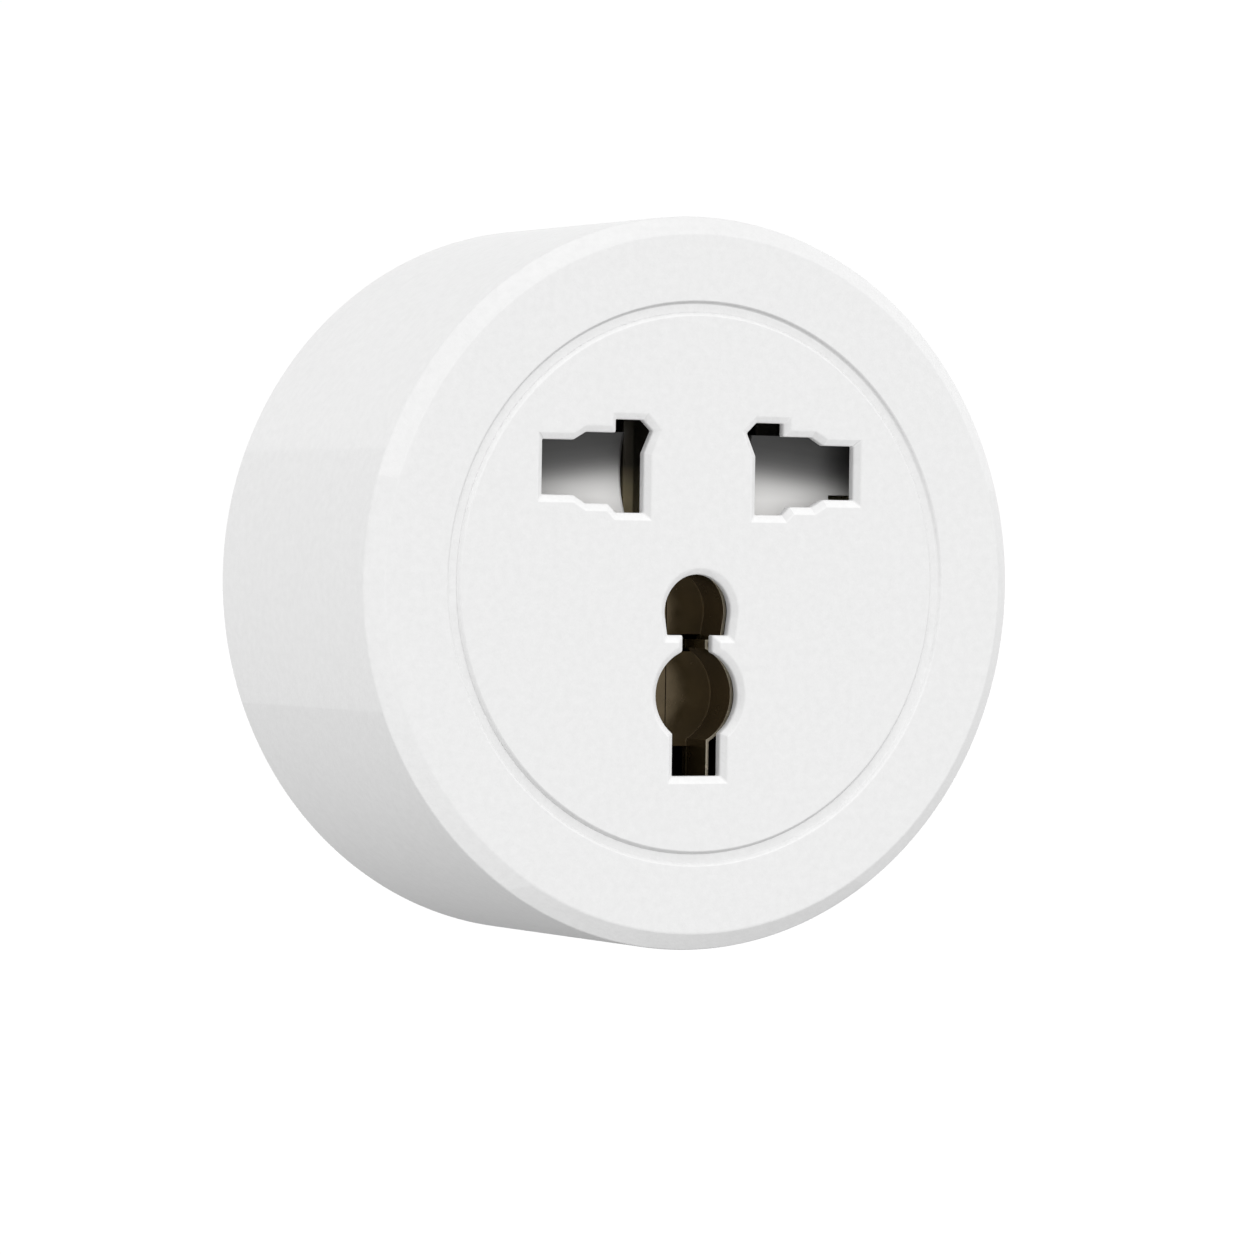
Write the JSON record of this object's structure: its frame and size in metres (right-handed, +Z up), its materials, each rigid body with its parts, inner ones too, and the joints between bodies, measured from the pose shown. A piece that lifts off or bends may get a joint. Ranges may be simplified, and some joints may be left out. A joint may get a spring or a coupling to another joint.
{
  "type": "plug in power meter",
  "caption": "Round white plug-in mains power meter: shuttered multi-standard outlet in the front face and a round-pin plug on the back.",
  "frame": {"origin": "centre of the rear face, the face that lies against the wall outlet", "axes": "+Y towards the wall (plug pins), -Y out of the outlet face, +X to the right seen from the front, +Z up"},
  "size_m": [0.0642, 0.0508, 0.064],
  "materials": {
    "housing": "fine spark-eroded matte white",
    "shutter_plastic": "satin white",
    "dark_moulding": "satin near-black",
    "steel": "zinc plated",
    "bronze": "dull phosphor bronze",
    "nickel": "nickel plated, satin",
    "laminate": "green solder mask",
    "relay_case": "satin blue",
    "ferrite": "matte ferrite",
    "tape": "yellow winding tape",
    "can_sleeve": "shrink sleeve",
    "film_case": "potted film capacitor case",
    "blue_coat": "dipped coating",
    "green_coat": "resistor lacquer",
    "manganin": "bare manganin strip",
    "chip_body": "moulded epoxy",
    "plunger_plastic": "satin brown",
    "lens": "clear diffusing acrylic"
  },
  "bodies": {
    "meter": {"front_housing": "housing", "outlet_face": "housing", "contact_block": "dark_moulding", "spring_left": "steel", "spring_right": "steel", "line_contact": "bronze", "neutral_contact": "bronze", "earth_contact": "bronze", "rear_cover": "housing", "line_pin": "nickel", "neutral_pin": "nickel", "earth_pin": "nickel", "pin_plate": "dark_moulding", "plate_screws": "steel", "block_screws": "steel", "cover_screws": "steel", "main_board": "laminate", "relay": "relay_case", "transformer_core": "ferrite", "transformer_coil": "tape", "bulk_capacitor_a": "can_sleeve", "bulk_capacitor_b": "can_sleeve", "line_capacitor": "film_case", "varistor": "blue_coat", "fuse": "green_coat", "line_choke": "ferrite", "shunt_strip": "manganin", "metering_chip": "chip_body", "rectifier": "chip_body", "supply_chip": "chip_body", "control_board": "laminate", "board_header": "dark_moulding", "radio_shield": "steel", "tact_switch": "dark_moulding", "status_led": "lens", "light_pipe": "lens"},
    "left_shutter": {"shutter_left": "shutter_plastic"},
    "right_shutter": {"shutter_right": "shutter_plastic"},
    "button": {"push_button": "housing", "switch_plunger": "plunger_plastic"}
  },
  "joints": [
    {"name": "left_shutter_slide", "type": "slide", "parent": "meter", "child": "left_shutter", "axis": [0, 0, -1], "range_m": [0, 0.0072], "stiffness_N_per_m": 80, "springref_m": -0.004, "deforming": ["spring_left"]},
    {"name": "right_shutter_slide", "type": "slide", "parent": "meter", "child": "right_shutter", "axis": [0, 0, -1], "range_m": [0, 0.0072], "stiffness_N_per_m": 80, "springref_m": -0.004, "deforming": ["spring_right"]},
    {"name": "button_press", "type": "slide", "parent": "meter", "child": "button", "axis": [-1, 0, 0], "range_m": [0, 0.0004], "stiffness_N_per_m": 2500, "springref_m": -0.0004}
  ]
}
